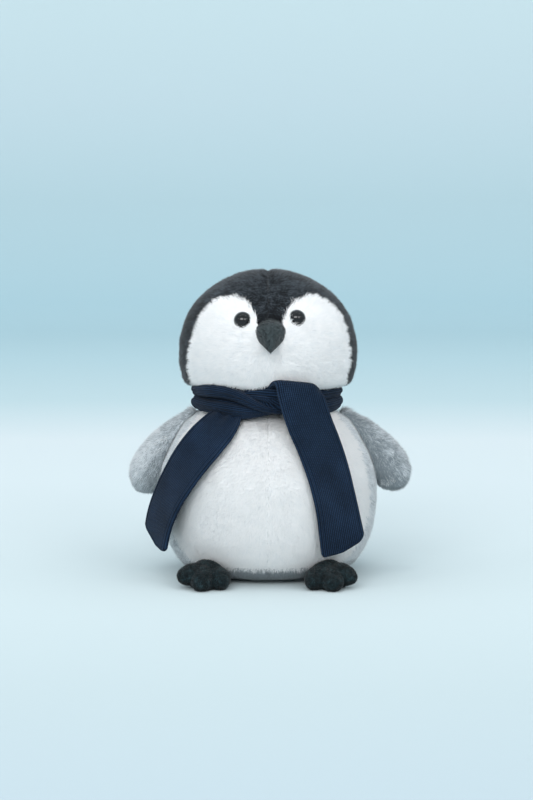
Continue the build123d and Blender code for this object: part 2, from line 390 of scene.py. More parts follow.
def light():
    world = bpy.data.worlds.new("world")
    world.use_nodes = True
    tree = world.node_tree
    studio = preset(tree.nodes["Background"],
                    {"Color": srgb(*STUDIO_TONE), "Strength": STUDIO_STRENGTH})
    beyond = add(tree, "ShaderNodeBackground", Color=srgb(*BEYOND_TONE))
    path = tree.nodes.new("ShaderNodeLightPath").outputs
    either = path["Is Camera Ray"]
    for ray in ("Is Glossy Ray", "Is Transmission Ray"):
        either = maths(tree, "MAXIMUM", either, path[ray])
    seen = tree.nodes.new("ShaderNodeMixShader")
    tree.links.new(either, seen.inputs["Fac"])
    tree.links.new(studio.outputs[0], seen.inputs[1])
    tree.links.new(beyond.outputs[0], seen.inputs[2])
    tree.links.new(seen.outputs[0], tree.nodes["World Output"].inputs["Surface"])
    bpy.context.scene.world = world
    for name, place, size, watts in LAMPS:
        lamp(name, place, LAMP_AIM, size, watts)
    for i, (place, side, watts) in enumerate(GLINTS):
        lamp(f"glint_{i}", place, GLINT_AIM, (side, side), watts)
    bpy.context.scene.view_settings.view_transform = "Standard"


backdrop()
light()


# ---- forms turned about the middle

BODY_HALF = -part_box("back_left")[0].x
BODY_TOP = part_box("back_right")[1].z
HEAD_LOW, HEAD_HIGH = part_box("hood_left")
HEAD_HALF = -HEAD_LOW.x

# shares of the half width and of the height
BODY_SIDE = [
    (0.543, 0), (0.801, 0.064), (0.946, 0.209), (1, 0.419), (0.974, 0.575), (0.871, 0.71),
    (0.752, 0.815), (0.62, 0.868), (0.504, 0.927), (0.504, 1)]
HEAD_SIDE = [
    (0.808, 0), (0.932, 0.038), (0.986, 0.153), (1, 0.285), (0.973, 0.458), (0.865, 0.658),
    (0.642, 0.833), (0.333, 0.953), (0, 1)]
FACE_EDGE = [
    (5.4, 174), (8.8, 184.5), (11.2, 189.5), (13.6, 194), (18.8, 198.4), (27, 200.6), (38, 197),
    (48.4, 187.2), (54.6, 172), (57, 156), (55.4, 142), (48, 125)]
BELLY_EDGE = [
    (15, 11.6), (40, 12.2), (58.6, 18.6), (68.5, 36), (72.7, 56), (69.4, 77), (61, 101),
    (44.8, 119.4), (34, 139)]
FACE_SHIFT = 1.7 * MM  # the face's middle line, at the beak; lower down it comes back
FACE_SHIFT_LOW, FACE_SHIFT_REACH = 0.135, 0.045  # the shift grows from this height up
BELLY_BACK = -8 * MM  # the belly lies in front of this
ELSEWHERE = -0.02  # how far inside a panel is a point on the other side of the toy
LINE_POINTS = 500


class Turned:
    """A form turned about Z from half its outline."""

    def __init__(self, shares, half, low, high):
        line = smooth_line([(r * half, low + z * (high - low)) for r, z in shares], LINE_POINTS)
        step = unit(np.gradient(line, axis=0))
        self.line, self.along = line, step
        self.out = np.stack([step[:, 1], -step[:, 0]], axis=1)
        self.run = np.linspace(0, 1, len(line))
        lengths = np.linalg.norm(np.diff(line, axis=0), axis=1)
        weight = np.concatenate([[0], np.cumsum((line[1:, 0] + line[:-1, 0]) / 2 * lengths)])
        self.area = 2 * math.pi * weight[-1]
        self.weight = weight / weight[-1]

    def at(self, phi, t, inset=0.0):
        """Points, outward normals and directions up the side, phi from the front."""
        r, z, nr, nz, ar, az = (np.interp(t, self.run, line[:, i])
                                for line in (self.line, self.out, self.along) for i in (0, 1))
        sin, cos = np.sin(phi), -np.cos(phi)
        r, z = r - inset * nr, z - inset * nz
        return (np.stack([r * sin, r * cos, z], axis=1),
                unit(np.stack([nr * sin, nr * cos, nz], axis=1)),
                unit(np.stack([ar * sin, ar * cos, az], axis=1)))

    def scatter(self, rng):
        """Evenly spread pile: tips, outward normals, directions up the side, and roots."""
        count = int(self.area / MM**2 * PER_MM2)
        t = np.interp(rng.random(count), self.weight, self.run)
        phi = rng.uniform(-math.pi, math.pi, count)
        return *self.at(phi, t), self.at(phi, t, PILE_ROOT)[0]


BODY = Turned(BODY_SIDE, BODY_HALF, 0.0, BODY_TOP)
HEAD = Turned(HEAD_SIDE, HEAD_HALF, HEAD_LOW.z, HEAD_HIGH.z)


def outline(points, close):
    return np.vstack([smooth_line(points, 90), close]) * MM


FACE_LINE = outline(FACE_EDGE, [(-20, 125), (-20, 174)])
BELLY_LINE = outline(BELLY_EDGE, [(-20, 139), (-20, 11.6)])


def in_face(p):
    """How far a point of the head lies inside the white face."""
    middle = FACE_SHIFT * rise(p[:, 2], FACE_SHIFT_LOW, FACE_SHIFT_REACH, 0.1)
    d = edge_distance(np.abs(p[:, 0] - middle), p[:, 2], FACE_LINE)
    return np.where(p[:, 1] < 0, d, ELSEWHERE)


def in_belly(p):
    """How far a point of the body lies inside the white belly."""
    d = edge_distance(np.abs(p[:, 0]), p[:, 2], BELLY_LINE)
    return np.where(p[:, 1] < BELLY_BACK, d, ELSEWHERE)


# ---- pile

PILE_LENGTH = 4.3 * MM
PILE_ROOT = 2.2 * MM  # how deep under the outer form the pile grows
LEAN = 0.92  # radians from upright
PER_MM2 = 3.4
STRAND_WIDTH = 0.5 * MM
THREE = np.array([0, 2, 4]) * math.pi / 3  # bearings of a strand's root corners
CLUMP, WAY_JITTER = 4 * MM, 0.32  # size of the clumps that lean one way
TILT_PATCH, TILT_DRIFT, TILT_JITTER, TILT_LIMITS = 6 * MM, 0.09, 0.14, (0.05, 1.45)
LONG_PATCH, LONG_DRIFT, LONG_JITTER = 5 * MM, 0.14, (-0.22, 0.12)
TONE_PATCHES, TONE_JITTER = ((3.4 * MM, 0.4), (1.5 * MM, 0.5)), 0.42
SHADE = 0.8  # the form's share in the normals that the strands are shaded by


def grow(name, parent, roots, normals, comb, length, lean, materials, seed,
         width=STRAND_WIDTH, bias=0.0, fleck=1.0, swirl=0.42):
    """Strands of pile, each a closed spike, leaning along comb. They move with their parent.

    Each takes one of the materials, dark to light: bias moves the choice, fleck spreads it.
    """
    rng = np.random.default_rng(seed)
    count = len(roots)
    clump = np.stack([noise(roots, CLUMP, seed + i) for i in (1, 2, 3)], axis=1)
    fine = rng.normal(0, 1, (count, 3))
    comb = comb - normals * np.sum(comb * normals, axis=1, keepdims=True)
    way = unit(comb) + swirl * clump + WAY_JITTER * fine
    way = unit(way - normals * np.sum(way * normals, axis=1, keepdims=True))
    tilt = lean + TILT_DRIFT * noise(roots, TILT_PATCH, seed + 4)
    tilt = np.clip(tilt + TILT_JITTER * rng.normal(0, 1, count), *TILT_LIMITS)[:, None]
    grow_way = normals * np.cos(tilt) + way * np.sin(tilt)
    size = length * (1 + LONG_DRIFT * noise(roots, LONG_PATCH, seed + 5)
                     + rng.uniform(*LONG_JITTER, count))
    side = unit(np.cross(grow_way, normals + 0.01))
    other = np.cross(grow_way, side)
    turn = rng.uniform(0, 2 * math.pi, count)
    verts = np.empty((count, 4, 3))
    shading = np.empty((count, 4, 3))
    for i, a in enumerate(THREE):
        off = np.cos(turn + a)[:, None] * side + np.sin(turn + a)[:, None] * other
        verts[:, i] = roots + off * (width / 2)
        shading[:, i] = unit(normals * SHADE + off * (1 - SHADE))
    verts[:, 3] = roots + grow_way * size[:, None]
    shading[:, 3] = unit(normals * SHADE + grow_way * (1 - SHADE))
    first = np.arange(count)[:, None] * 4
    faces = np.concatenate([first + f for f in
                            ((0, 1, 3), (1, 2, 3), (2, 0, 3), (0, 2, 1))], axis=1).reshape(-1, 3)
    pick = sum(noise(roots, patch, seed + 6 + i) * share
               for i, (patch, share) in enumerate(TONE_PATCHES))
    pick = fleck * (pick + rng.normal(0, TONE_JITTER, count)) + bias
    ranks = np.clip(((pick + 1) / 2 * len(materials)).astype(int), 0, len(materials) - 1)
    ob = new_object(name, verts.reshape(-1, 3), faces, materials, tones=np.repeat(ranks, 4))
    shaded = ob.data.attributes.new("custom_normal", "FLOAT_VECTOR", "POINT")
    shaded.data.foreach_set("vector", shading.reshape(-1).astype(np.float32))
    ob.parent = parent


SKIN_STEPS = 260, 150  # round the form, and from bottom to top
CLOTH_THICK = 0.7 * MM


def skin(panel, word, sign, body, form, within, material):
    """The cloth that the pile grows from: one panel of the left or right half, a thin shell."""
    around, up = SKIN_STEPS
    phi = np.linspace(-math.pi, math.pi, around + 1)[:-1]
    t = np.linspace(0, 1, up + 1)
    gp, gt = np.meshgrid(phi, t)
    points = form.at(gp.ravel(), gt.ravel(), PILE_ROOT)[0]
    i, j = np.meshgrid(np.arange(around), np.arange(up))
    a = (j * around + i).ravel()
    b = (j * around + (i + 1) % around).ravel()
    faces = np.stack([a, b, b + around, a + around], axis=1)
    middle = points[faces].mean(axis=1)
    faces = faces[(middle[:, 0] * sign > 0) & within(middle)]
    used, faces = np.unique(faces, return_inverse=True)
    ob = new_object(f"{panel}_{word}_panel", points[used], faces.reshape(-1, 4), [material])
    modify(ob, "SOLIDIFY", thickness=CLOTH_THICK, offset=-1)
    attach(ob, body)
    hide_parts(f"{panel}_{word}")
    return ob


HOOD_TONES = shades("hood_pile", (22, 25, 29), (35, 39, 44), (50, 56, 62), (80, 89, 97),
                    sheen=0.16)
WHITE_TONES = shades("white_pile", (236, 240, 242), (244, 246, 247), (249, 250, 250),
                     (252, 252, 252))
GREY_TONES = shades("grey_pile", (138, 148, 154), (174, 184, 190), (204, 213, 218),
                    (228, 234, 238), sheen=0.4)
HOOD_SKIN = plush("hood_backing", (22, 25, 28), (42, 47, 52))
WHITE_SKIN = plush("white_backing", (236, 240, 242), (250, 251, 251))
GREY_SKIN = plush("grey_backing", (146, 156, 162), (184, 193, 199))


def seam_share(distance, depth, width=1.3 * MM):
    """The pile is caught short in the seam between two panels."""
    return 1 - depth * near(distance, width)


RAGGED, RAGGED_PATCH = 1.0 * MM, 3 * MM  # how the edge of the white pile wanders
HEAD_STRAY, BODY_STRAY = 0.25 * MM, 0.4 * MM  # how far single strands stray over it
CROWN = 0.2  # above this the hood's seam is deep
CHIN = 0.158  # below this the face's seam gets deeper
FACE_MIDDLE = np.array([FACE_SHIFT, -HEAD_HALF, 0.172])  # its pile is combed away from here
SHADE_OVER_BEAK = np.array([0.001, -HEAD_HALF + 0.004, 0.182])  # painted shadow: the hood's pile is darkest round here, just above the beak


def head():
    rng = np.random.default_rng(11)
    tips, normals, up, roots = HEAD.scatter(rng)
    x, z = tips[:, 0], tips[:, 2]
    ragged = RAGGED * noise(tips, RAGGED_PATCH, 5) + rng.normal(0, HEAD_STRAY, len(tips))
    depth = in_face(tips)
    white = depth + ragged > 0
    out = unit(tips - FACE_MIDDLE)
    back = unit(-up + np.array([0, 0.4, 0]))
    back = unit(back + np.sign(tips[:, :1]) * [0.25, 0, 0])

    parting = x - np.where(z < CROWN, np.where(white, FACE_SHIFT, 0), 0)
    crown_seam = 0.8 * rise(z, CROWN, 0.008, 0.25)
    chin_seam = 0.3 + 0.3 * rise(z, CHIN, -0.01)
    size = PILE_LENGTH * seam_share(parting, np.where(white, chin_seam, crown_seam), 1.1 * MM)
    size = size * np.where(white, 1, 1 - 0.45 * near(depth, 2 * MM))  # trimmed round the face
    for word, _ in SIDES:  # longer below the eyes, which sink into it
        low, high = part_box(f"eye_{word}")
        below_eye = np.array([(low.x + high.x) / 2, low.y + 4 * MM, low.z + 1 * MM])
        size = size * (1 + 0.4 * near(np.linalg.norm(tips - below_eye, axis=1), 6 * MM))
    tone_and_painted_shading = (0.38 * rise(z, 0.19, 0.02)  # painted light: the crown's pile is paler, as lit from above
            # painted shadow: the pile darkens round the spot just above the beak
            - 1.0 * near(np.linalg.norm(tips - SHADE_OVER_BEAK, axis=1), 9 * MM, 4))

    for word, sign in SIDES:
        hood = skin("hood", word, sign, "head", HEAD,
                    lambda p: in_face(p) < 0, HOOD_SKIN)
        face = skin("face", word, sign, "head", HEAD,
                    lambda p: in_face(p) >= 0, WHITE_SKIN)
        m = (x * sign > 0) & ~white
        grow(f"hood_{word}_pile", hood, roots[m], normals[m], back[m],
             size[m], LEAN, HOOD_TONES, 100 + sign, bias=tone_and_painted_shading[m])
        m = (x * sign > 0) & white
        grow(f"face_{word}_pile", face, roots[m], normals[m], out[m],
             size[m], LEAN, WHITE_TONES, 200 + sign, fleck=0.8, swirl=0.34)


BODY_PILE = 3.5 * MM, 119 * MM  # from the base's pile up to under the scarf
BACK_LOW = 6 * MM  # the back panels start above the base panel
BELLY_SEAM = 0.075  # the belly's seam shows below this
UNDERSIDE = 0.0145  # painted shade: below this the grey pile is darkened, low by the floor


def torso():
    rng = np.random.default_rng(12)
    tips, normals, up, roots = BODY.scatter(rng)
    keep = (tips[:, 2] > BODY_PILE[0]) & (tips[:, 2] < BODY_PILE[1])
    tips, normals, up, roots = (v[keep] for v in (tips, normals, up, roots))
    x, z = tips[:, 0], tips[:, 2]
    ragged = RAGGED * noise(tips, RAGGED_PATCH, 5) + rng.normal(0, BODY_STRAY, len(tips))
    white = in_belly(tips) + ragged > 0
    belly_seam = 0.3 * rise(z, BELLY_SEAM, -0.03)
    size = PILE_LENGTH * seam_share(x, np.where(white, belly_seam, 0.45))
    down = unit(-up + np.clip(tips[:, :1] / (9 * MM), -1, 1) * [0.2, 0, 0])
    # the back's pile is lifted a tone paler overall, and darkened at the bottom as painted shade
    tone_and_painted_shading = 0.62 - 1.65 * rise(z, UNDERSIDE, -0.004)

    for word, sign in SIDES:
        back = skin("back", word, sign, "torso", BODY,
                    lambda p: (in_belly(p) < 0) & (p[:, 2] > BACK_LOW), GREY_SKIN)
        belly = skin("belly", word, sign, "torso", BODY,
                     lambda p: in_belly(p) >= 0, WHITE_SKIN)
        m = (x * sign > 0) & ~white
        grow(f"back_{word}_pile", back, roots[m], normals[m], down[m],
             size[m], LEAN, GREY_TONES, 300 + sign, bias=tone_and_painted_shading[m])
        m = (x * sign > 0) & white
        grow(f"belly_{word}_pile", belly, roots[m], normals[m], down[m],
             size[m], LEAN, WHITE_TONES, 400 + sign, bias=0.15, fleck=0.55,
             swirl=0.22)


head()
torso()


# ---- small stuffed forms

def scatter_on(ob, per_mm2, rng):
    """Even random points on an object's surface, with the surface's smooth normals."""
    mesh = ob.data
    mesh.calc_loop_triangles()
    count = len(mesh.loop_triangles)
    tri = np.empty(count * 3, np.int32)
    mesh.loop_triangles.foreach_get("vertices", tri)
    tri = tri.reshape(-1, 3)
    co = corners(mesh)
    vn = np.array([v.normal for v in mesh.vertices])
    a, b, c = (co[tri[:, i]] for i in range(3))
    area = np.linalg.norm(np.cross(b - a, c - a), axis=1) / 2
    run = np.cumsum(area)
    number = int(run[-1] / MM**2 * per_mm2)
    pick = np.minimum(np.searchsorted(run, rng.random(number) * run[-1]), count - 1)
    s = np.sqrt(rng.random(number))[:, None]
    r = rng.random(number)[:, None]
    w = (1 - s, s * (1 - r), s * r)
    points = sum(w[i] * co[tri[pick, i]] for i in range(3))
    normals = unit(sum(w[i] * vn[tri[pick, i]] for i in range(3)))
    return points, normals


def body_gap(p):
    """How far a point lies outside the body, level with it."""
    line = BODY.line
    order = np.argsort(line[:, 1])
    r = np.interp(p[:, 2], line[order, 1], line[order, 0])
    return np.hypot(p[:, 0], p[:, 1]) - r


def lathe(profile, around=64):
    """Corners and faces of a closed form turned about Z from (r, z) pairs."""
    verts, faces, rings = [], [], []
    for r, z in profile:
        if r < 1e-6:
            rings.append([len(verts)])
            verts.append((0, 0, z))
        else:
            rings.append(list(range(len(verts), len(verts) + around)))
            for i in range(around):
                a = 2 * math.pi * i / around
                verts.append((r * math.cos(a), r * math.sin(a), z))
    for low, high in zip(rings, rings[1:]):
        for i in range(around):
            j = (i + 1) % around
            quad = [low[i % len(low)], low[j % len(low)], high[j % len(high)], high[i % len(high)]]
            quad = list(dict.fromkeys(quad))
            if len(quad) > 2:
                faces.append(quad)
    return np.array(verts), faces


def hollow(ob, grow_by=0.6 * MM):
    """Cuts the body's outer form, a little larger, out of what lies against it."""
    line = BODY.line + BODY.out * grow_by
    side = [tuple(p) for p in line[::8]] + [tuple(line[-1])]
    verts, faces = lathe([(0, line[0, 1])] + side + [(0, line[-1, 1])], 96)
    block = new_object("hollow", verts, faces, [])
    modify(ob, "BOOLEAN", operation="DIFFERENCE", object=block, solver="EXACT")
    bpy.data.objects.remove(block)


def split(ob, name, keep, material, thickness):
    """A shell from the part of an object's surface where keep is true."""
    mesh = ob.data
    co = corners(mesh)
    faces = [tuple(p.vertices) for p in mesh.polygons if keep(np.array(p.center))]
    used = sorted({i for f in faces for i in f})
    index = {v: i for i, v in enumerate(used)}
    part = new_object(name, co[used], [[index[i] for i in f] for f in faces], [material])
    modify(part, "SOLIDIFY", thickness=thickness, offset=-1)
    return part


SIM_SCALE = 10.0  # the cloth solver is happier with forms of half a metre
SIM_FRAMES = 16


def puff(ob, voxel, pressure, cap, held, soften=0):
    """Swells a stuffed form with the cloth solver; no point moves further than cap.

    held is true where the cloth is stitched down and stays put.
    """
    co = corners(ob.data)
    middle = co.mean(axis=0)
    set_corners(ob.data, (co - middle) * SIM_SCALE)
    modify(ob, "REMESH", mode="VOXEL", voxel_size=voxel * SIM_SCALE)
    if soften:
        modify(ob, "SMOOTH", factor=0.5, iterations=soften)
    start = corners(ob.data)
    pins = ob.vertex_groups.new(name="held")
    pinned = np.flatnonzero(held(start / SIM_SCALE + middle))
    pins.add(pinned.tolist(), 1.0, "REPLACE")
    cloth = ob.modifiers.new("cloth", "CLOTH")
    cloth.settings.use_pressure = True
    cloth.settings.uniform_pressure_force = pressure
    cloth.settings.effector_weights.gravity = 0
    cloth.settings.bending_stiffness = 0.2
    cloth.settings.vertex_group_mass = "held"
    cloth.point_cache.frame_start, cloth.point_cache.frame_end = 1, SIM_FRAMES
    for step in range(1, SIM_FRAMES + 1):
        bpy.context.scene.frame_set(step)
    swollen = ob.evaluated_get(bpy.context.evaluated_depsgraph_get()).to_mesh()
    end = corners(swollen)
    ob.modifiers.clear()
    bpy.context.scene.frame_set(1)
    move = end - start
    reach = np.linalg.norm(move, axis=1, keepdims=True)
    start = start + move * np.minimum(1, cap * SIM_SCALE / np.maximum(reach, 1e-9))
    set_corners(ob.data, start / SIM_SCALE + middle)
    modify(ob, "SUBSURF", levels=1)


def placed(verts, root, x, y, z):
    """Corners of a form, moved onto the axes given."""
    return root + verts[:, :1] * x + verts[:, 1:2] * y + verts[:, 2:] * z


# ---- base, wings and tail

BASE_BOTTOM = [(0, 0.5 * MM), (40 * MM, 0.5 * MM)]
BASE_TOP = [(39 * MM, 2.0 * MM), (0, 2.0 * MM)]
BASE_EDGE = 1.2 * MM, 9 * MM  # its edge follows the body between these heights
BASE_EDGE_THICK = 0.8 * MM
BASE_PILE = 0.8 * MM, 11.5 * MM


def base():
    line = BODY.line - BODY.out * PILE_ROOT
    edge = [tuple(p) for p in line if BASE_EDGE[0] < p[1] < BASE_EDGE[1]]
    inner = [(r - BASE_EDGE_THICK, z) for r, z in reversed(edge)]
    verts, faces = lathe(BASE_BOTTOM + edge[::4] + inner[::4] + BASE_TOP, 128)
    ob = new_object("base_panel_cloth", verts, faces, [GREY_SKIN])
    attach(ob, "torso")
    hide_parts("base_panel")
    tips, normals, _, roots = BODY.scatter(np.random.default_rng(13))
    m = (tips[:, 2] < BASE_PILE[1]) & (tips[:, 2] > BASE_PILE[0])
    down = normals * [1, 1, 0] + [0, 0, -0.3]
    # painted shade: the base's pile is darkened to the darkest grey tones, low under the body by
    # the floor
    grow("base_panel_pile", ob, roots[m], normals[m], down[m],
         PILE_LENGTH * 0.8, 0.8, GREY_TONES, 510, bias=-1.0)


WING_SIDE = [
    (0, -5), (4.2, -3), (5.8, 0), (7.2, 5), (9.2, 14), (12.8, 27), (15.2, 40), (15.4, 51),
    (12.6, 61), (7.2, 67), (0, 70)]
WING_ROOT_SHIFT = [(-5, -3.6), (0, -3.4), (5, -2.9), (14, -0.9), (24, 0)]  # inward, near the seam
WING_HALF_THICK = 11.5
WING_SHADE_SPREAD = 17.0  # painted light and shade: over so many mm the pile darkens towards the body and pales towards the rim
WING_HANG = 56.1  # degrees below level
WING_TURN = {"left": 0.8, "right": -3.0}  # added to that
WING_PAINTED_SHADE = {"left": -0.12, "right": -0.72}  # painted shade: the left wing's pile is shifted a little darker, the right one much more as it lies in shade
WING_IN, WING_UP = -0.8 * MM, 1.8 * MM  # from the corner of the CAD wing to the root
WING_SEAM = 1.2 * MM  # half the width of cloth that the seam holds
GREY_LENGTH = 4.6 * MM
GREY_LEAN = 0.86
GREY_PER_MM2 = PER_MM2 * 1.15


def pressed_form(side, half_thick):
    """A teardrop turned from (half width, distance) pairs, pressed flat, along +Z."""
    inset = PILE_ROOT / MM
    line = smooth_line(side, 90)
    step = unit(np.gradient(line, axis=0))
    line = line + np.stack([-step[:, 1], step[:, 0]], axis=1) * inset
    line[:, 0] = np.maximum(line[:, 0], 0)
    verts, faces = lathe([tuple(p) for p in line], 72)
    thick = half_thick - inset
    y = np.abs(verts[:, 1])
    curve = thick * np.sqrt(np.clip(1 - (verts[:, 0] / (1.75 * thick)) ** 2, 0.05, 1))
    y = (np.maximum(y, 1e-9) ** -4.0 + curve**-4.0) ** -0.25
    verts[:, 1] = np.sign(verts[:, 1]) * y
    return verts * MM, faces


def plush_part(name, form, parent, comb, cut, seed, bias, clear=1.6):
    """Grey pile on the part of a form where cut is true, clear of the body by so many mm."""
    rng = np.random.default_rng(seed)
    roots, normals = scatter_on(form, GREY_PER_MM2, rng)
    m = (body_gap(roots) > clear * MM) & cut(roots.T)
    roots, normals = roots[m], normals[m]
    grow(name, parent, roots, normals, np.tile(comb, (len(roots), 1)),
         GREY_LENGTH, GREY_LEAN, GREY_TONES, seed, bias=bias(roots))


def wings():
    for word, sign in SIDES:
        front, back = (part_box(f"wing_{word}_{panel}") for panel in ("front", "back"))
        inner = min(abs(front[0].x), abs(front[1].x))
        middle = (front[0].y + back[1].y) / 2
        root = np.array([inner + WING_IN, middle, front[1].z + WING_UP])
        hang = math.radians(WING_HANG + WING_TURN[word])
        along = np.array([math.cos(hang), 0, -math.sin(hang)])
        across = np.array([math.sin(hang), 0, math.cos(hang)])
        verts, faces = pressed_form(WING_SIDE, WING_HALF_THICK)
        where, shift = np.array(WING_ROOT_SHIFT).T * MM
        verts[:, 0] += np.interp(verts[:, 2], where, shift)
        verts = verts + noise(verts, 26 * MM, 61)[:, None] * np.array([0, 0.8 * MM, 0])
        mirror = [sign, 1, 1]
        verts = placed(verts, root, across, [0, 1, 0], along) * mirror
        if sign > 0:
            faces = [f[::-1] for f in faces]
        form = new_object("form", verts, faces, [GREY_SKIN])
        puff(form, voxel=2.2 * MM, pressure=3.0, cap=1.6 * MM,
             held=lambda p: np.abs(p[:, 1] - middle) < WING_SEAM)
        hollow(form)
        for panel, cut, lift, seed in (("front", lambda p: p[1] < middle, -0.1, 620),
                                       ("back", lambda p: p[1] >= middle, 0.1, 610)):
            ob = split(form, f"wing_{word}_{panel}_panel", cut, GREY_SKIN, CLOTH_THICK)
            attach(ob, f"wing_{word}")
            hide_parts(f"wing_{word}_{panel}")
            tip = (along + [0, lift, 0]) * mirror
            rim = across * mirror
            # the bias paints light and shade across the wing: darker towards the body and in the
            # right wing, paler at the rim
            plush_part(f"wing_{word}_{panel}_pile", form, ob, tip, cut, seed + sign,
                       lambda p: ((p - root * mirror) @ rim / (WING_SHADE_SPREAD * MM)
                                  + WING_PAINTED_SHADE[word]))
        bpy.data.objects.remove(form)


TAIL_SIDE = [(0, -10), (9, -8), (13.4, 0), (13.2, 9), (11, 17), (7, 23.5), (0, 28)]
TAIL_HALF_THICK = 8.0
TAIL_RISE = 12.0  # degrees above level
TAIL_UP = 3 * MM  # from the middle of the CAD tail
TAIL_SEAM = 0.8 * MM


def tail():
    low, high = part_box("tail_cover")
    rise_angle = math.radians(TAIL_RISE)
    along = np.array([0, math.cos(rise_angle), math.sin(rise_angle)])
    lift = np.array([0, -math.sin(rise_angle), math.cos(rise_angle)])
    tip = np.array([0, high.y, (low.z + high.z) / 2 + TAIL_UP])
    root = tip - along * TAIL_SIDE[-1][1] * MM
    verts, faces = pressed_form(TAIL_SIDE, TAIL_HALF_THICK)
    verts = placed(verts, root, [1, 0, 0], lift, along)
    ob = new_object("tail_panel", verts, [f[::-1] for f in faces], [GREY_SKIN])
    puff(ob, voxel=1.3 * MM, pressure=3.0, cap=1.0 * MM,
         held=lambda p: np.abs((p - root) @ lift) < TAIL_SEAM)
    hollow(ob)
    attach(ob, "torso")
    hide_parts("tail_cover")
    plush_part("tail_pile", ob, ob, along * 0.5 - lift, lambda p: p[1] > 0, 620,
               lambda p: np.full(len(p), 0.35), clear=-0.8)


# ---- feet

FOOT_TONES = shades("foot_pile", (12, 20, 23), (21, 33, 37), (33, 49, 54), (56, 77, 83),
                    sheen=0.12, gloss_level=0.1)
FOOT_SKIN = plush("foot_backing", (16, 21, 23), (34, 43, 46))
FOOT_ASIDE = {"left": -39.8 * MM, "right": 39.0 * MM}
FOOT_FORWARD = -51 * MM
FOOT_TURN = 12.0  # degrees outwards
INSTEP_SIZE = (21, 13.4, 12.8)  # half length, half width and half height in mm
INSTEP_FORWARD, INSTEP_UP = 0.003, 0.0052  # from the foot's root
TOE_SPREAD = 30.0
TOE_REACH = (24.0, 28.0, 24.5)  # inner, middle and outer toe
TOE_SIZE = ((14, 7.3, 7.2), (15, 7.8, 7.7), (13, 6.7, 6.8))
TOE_BEYOND = 6.5  # the toes end so far past their reach
TOE_UP = 7.0
TOE_LIFT = (0.0, 0.0, 2.2)
CLEFT_START, CLEFT_HALF = 16 * MM, 0.9 * MM  # the stitched lines between the toes
STITCHED_SOLE = 1.2 * MM
FOOT_CLEAR = 0.25 * MM
SOLE = 1.4 * MM  # the sole's cloth ends at this height
FOOT_NAP = 1.5 * MM


def ball(bm, place, way, size):
    """A stretched ball: size is half length, half width, half height, in mm."""
    turn = Vector(way).to_track_quat("X", "Z").to_matrix().to_4x4()
    scale = Matrix.Diagonal((*[v * MM for v in size], 1.0))
    bmesh.ops.create_icosphere(bm, subdivisions=4, radius=1.0,
                               matrix=Matrix.Translation(place) @ turn @ scale)


def feet():
    for word, sign in SIDES:
        root = Vector((FOOT_ASIDE[word], FOOT_FORWARD, 0))

        def heading(degrees):
            turn = math.radians(degrees)
            return Vector((sign * math.sin(turn), -math.cos(turn), 0))

        bm = bmesh.new()
        way = heading(FOOT_TURN)
        ball(bm, root + way * INSTEP_FORWARD + Vector((0, 0, INSTEP_UP)),
             way + Vector((0, 0, -0.2)), INSTEP_SIZE)
        for step, reach, size, lift in zip((-1, 0, 1), TOE_REACH, TOE_SIZE, TOE_LIFT):
            way = heading(FOOT_TURN + step * TOE_SPREAD)
            place = (root + way * (reach + TOE_BEYOND - size[0]) * MM
                     + Vector((0, 0, (TOE_UP + lift) * MM)))
            ball(bm, place, way + Vector((0, 0, -0.1)), size)
        mesh = bpy.data.meshes.new("foot")
        bm.to_mesh(mesh)
        bm.free()
        form = bpy.data.objects.new("form", mesh)
        bpy.context.scene.collection.objects.link(form)
        clefts = [math.radians(FOOT_TURN + half * TOE_SPREAD) for half in (-0.5, 0.5)]

        def stitched(p):
            """The sole, and the lines that part the toes."""
            down = p[:, 2] < STITCHED_SOLE
            for a in clefts:
                dx, dy = (p[:, :2] - np.array(root)[:2]).T
                forward = sign * math.sin(a) * dx - math.cos(a) * dy
                aside = math.cos(a) * dx * sign + math.sin(a) * dy
                down = down | ((forward > CLEFT_START) & (np.abs(aside) < CLEFT_HALF))
            return down

        puff(form, voxel=1.05 * MM, pressure=2.5, cap=0.9 * MM, held=stitched, soften=4)
        co = corners(form.data)
        out = np.array([v.normal for v in form.data.vertices])
        lumps = 0.45 * noise(co, 6.5 * MM, 71) + 0.25 * noise(co, 3.5 * MM, 72)
        places = co + out * lumps[:, None] * MM
        places[:, 2] = np.maximum(places[:, 2], FOOT_CLEAR)
        set_corners(form.data, places)
        hollow(form, 0.5 * MM)
        form.data.materials.clear()
        for part, cut in (("upper", lambda p: p[2] > SOLE), ("sole", lambda p: p[2] <= SOLE)):
            ob = split(form, f"foot_{word}_{part}_cloth", cut, FOOT_SKIN, 0.5 * MM)
            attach(ob, "torso")
            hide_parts(f"foot_{word}_{part}",
                        *([f"foot_{word}_stuffing"] if part == "upper" else []))
            if part == "upper":
                rng = np.random.default_rng(700 + sign)
                roots, normals = scatter_on(form, 6.5, rng)
                m = (body_gap(roots) > 0.9 * MM) & (roots[:, 2] > 0.6 * MM)
                roots, normals = roots[m], normals[m]
                comb = np.tile([sign * 0.2, -1, -0.3], (len(roots), 1))
                grow(f"foot_{word}_nap", ob, roots, normals, comb,
                     FOOT_NAP, 0.75, FOOT_TONES, 710 + sign, width=0.36 * MM)
        bpy.data.objects.remove(form)


# ---- beak and eyes

